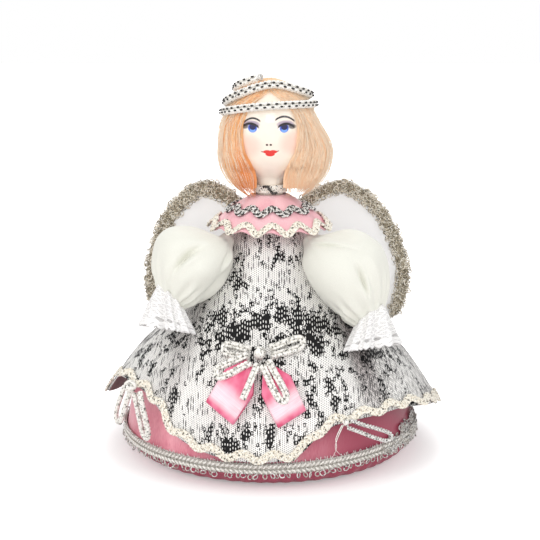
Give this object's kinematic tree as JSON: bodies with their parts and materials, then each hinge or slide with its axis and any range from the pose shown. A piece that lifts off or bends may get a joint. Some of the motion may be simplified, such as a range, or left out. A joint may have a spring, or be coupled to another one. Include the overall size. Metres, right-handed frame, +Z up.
{
  "type": "angel doll ornament",
  "caption": "Standing angel doll: egg-shaped painted head with a wig turns on a padded bell body in satin and lame skirts and a cape, with stuffed sleeves that lift and wings that fold.",
  "frame": {"origin": "middle of the underside of the base board, on the table", "axes": "+Z up through the crown of the head, the face towards -Y, +X to the viewer's right"},
  "size_m": [0.1423, 0.1344, 0.1552],
  "materials": {
    "card": "plain card",
    "wadding": "loose polyester wadding",
    "wood": "plain turned wood",
    "painted": "glossy cream paint with a painted face",
    "satin": "pink satin with a soft sheen",
    "lame": "silver lame with black flecks",
    "silver": "metallic silver braid and cord",
    "cream": "cream cotton braid and lace",
    "crepe": "white crinkled crepe",
    "hair": "peach mohair",
    "wire": "soft steel wire",
    "felt": "white felt"
  },
  "bodies": {
    "figure": {"base_board": "card", "body_cone": "card", "body_wadding": "wadding", "neck_plug": "wood", "underskirt": "satin", "underskirt_galloon": "silver", "overdress": "lame", "overdress_hem_braid": "cream", "cape": "satin", "cape_silver_braid": "silver", "cape_hem_braid": "cream", "choker_braid": "silver", "choker_twist": "silver", "back_tab": "felt", "front_bow_ribbon_left": "satin", "front_bow_ribbon_right": "satin", "front_bow_loop_upper_left": "silver", "front_bow_loop_upper_right": "silver", "front_bow_loop_lower_left": "silver", "front_bow_loop_lower_right": "silver", "front_bow_tail": "silver", "front_bow_knot": "silver", "left_bow_loop_1": "silver", "left_bow_loop_2": "silver", "left_bow_knot": "silver", "right_bow_loop": "silver", "right_bow_knot": "silver"},
    "head": {"head": "painted", "hair": "hair", "circlet_cord": "silver", "circlet_knot": "silver"},
    "left_arm": {"left_sleeve": "crepe", "left_sleeve_wadding": "wadding", "left_cuff": "cream"},
    "right_arm": {"right_sleeve": "crepe", "right_sleeve_wadding": "wadding", "right_cuff": "cream"},
    "left_wing": {"left_wing_membrane": "crepe", "left_wing_tinsel": "silver", "left_wing_wire": "wire"},
    "right_wing": {"right_wing_membrane": "crepe", "right_wing_tinsel": "silver", "right_wing_wire": "wire"}
  },
  "joints": [
    {"name": "head_turn", "type": "hinge", "parent": "figure", "child": "head", "pos_m": [0, 0, 0.1042], "axis": [0, 0, 1], "range_deg": [-60, 60]},
    {"name": "left_arm_lift", "type": "hinge", "parent": "figure", "child": "left_arm", "pos_m": [-0.0186, -0.01074, 0.08883], "axis": [-0.5, 0.866, 0], "range_deg": [0, 10]},
    {"name": "right_arm_lift", "type": "hinge", "parent": "figure", "child": "right_arm", "pos_m": [0.01736, -0.01261, 0.08882], "axis": [-0.5878, -0.809, 0], "range_deg": [0, 10]},
    {"name": "left_wing_fold", "type": "hinge", "parent": "figure", "child": "left_wing", "pos_m": [-0.0055, 0.0284, 0.0815], "axis": [0, 0, -1], "range_deg": [0, 50]},
    {"name": "right_wing_fold", "type": "hinge", "parent": "figure", "child": "right_wing", "pos_m": [0.0055, 0.0284, 0.0815], "axis": [0, 0, 1], "range_deg": [0, 50]}
  ]
}
